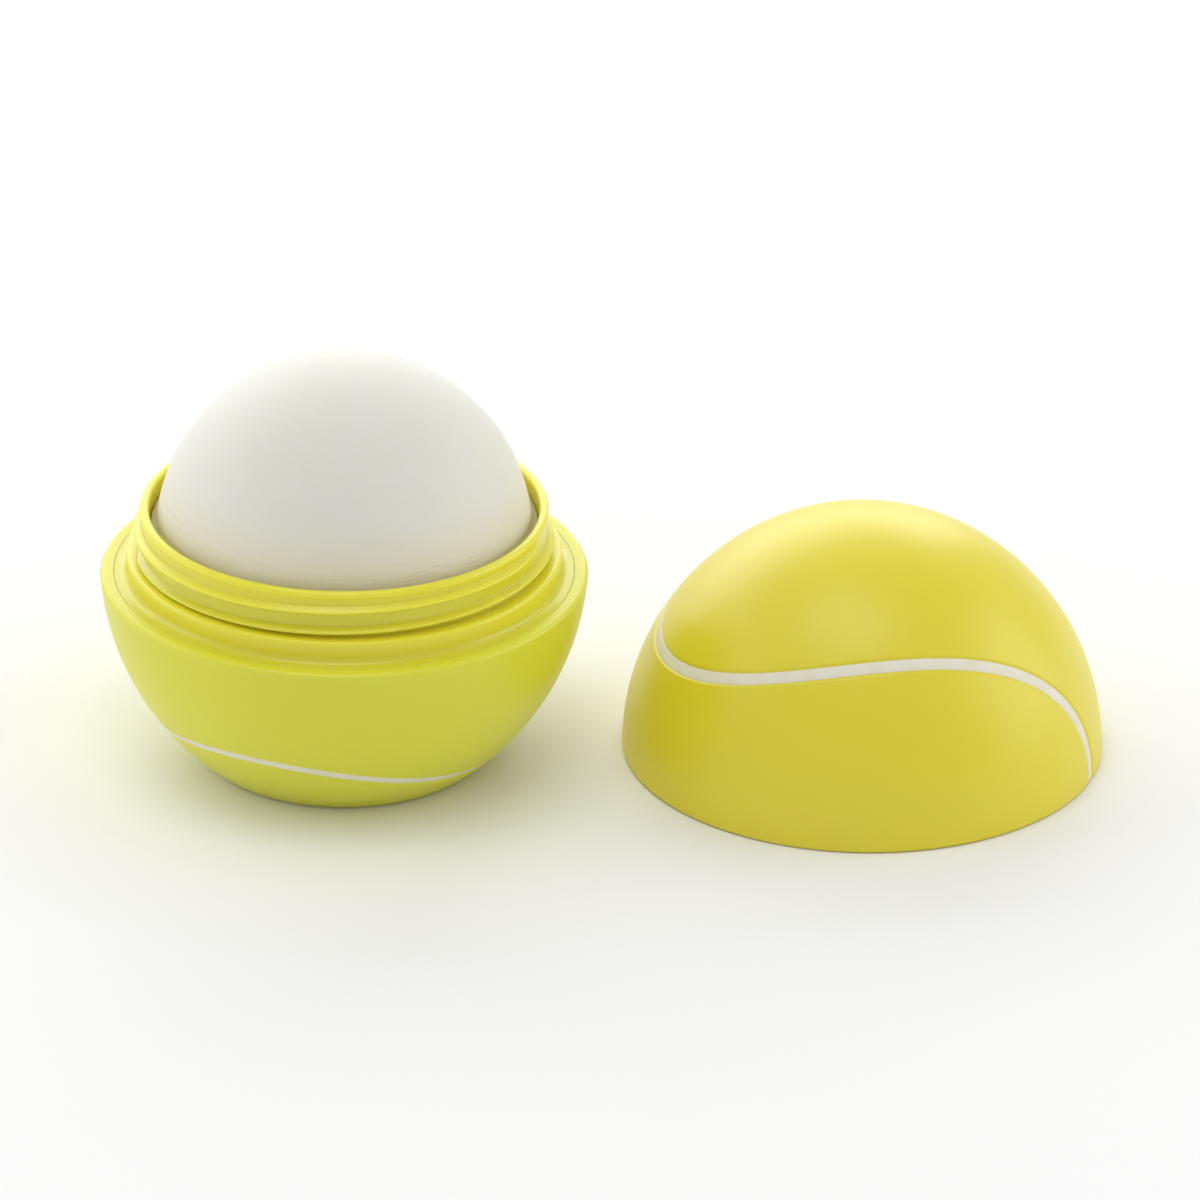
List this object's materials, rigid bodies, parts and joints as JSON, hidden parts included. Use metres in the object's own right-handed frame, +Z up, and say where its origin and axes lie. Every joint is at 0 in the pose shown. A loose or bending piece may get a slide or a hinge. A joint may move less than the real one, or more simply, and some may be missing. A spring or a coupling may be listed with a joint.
{
  "type": "tennis ball lip balm holder",
  "caption": "Ball-shaped lip balm holder, open: a base with a threaded neck round a domed white balm, and its domed screw cap standing beside it, both with a tennis ball seam line.",
  "frame": {"origin": "centre of the base's flat foot, on the surface that the base and the cap both stand on", "axes": "+Z up along the base's axis; +X from the base towards the cap that stands beside it; -Y is the side that the picture shows"},
  "size_m": [0.0846, 0.041, 0.0353],
  "materials": {
    "yellow_shell": "satin",
    "yellow_inner": "satin",
    "seam_paint": "matt paint",
    "balm_wax": "wax, semi-matt",
    "anchor_plastic": "matt",
    "label_film": "satin film"
  },
  "bodies": {
    "base": {"base_shell": "yellow_shell", "base_label": "label_film", "base_seam_line": "seam_paint", "threaded_cup": "yellow_inner", "balm_anchor": "anchor_plastic", "balm": "balm_wax"},
    "cap": {"cap_shell": "yellow_shell", "cap_liner": "yellow_inner", "cap_seam_line": "seam_paint"}
  },
  "joints": [
    {"name": "cap_lift", "type": "slide", "parent": "base", "child": "cap", "axis": [0, 0, 1], "range_m": [0, 0.045]}
  ]
}
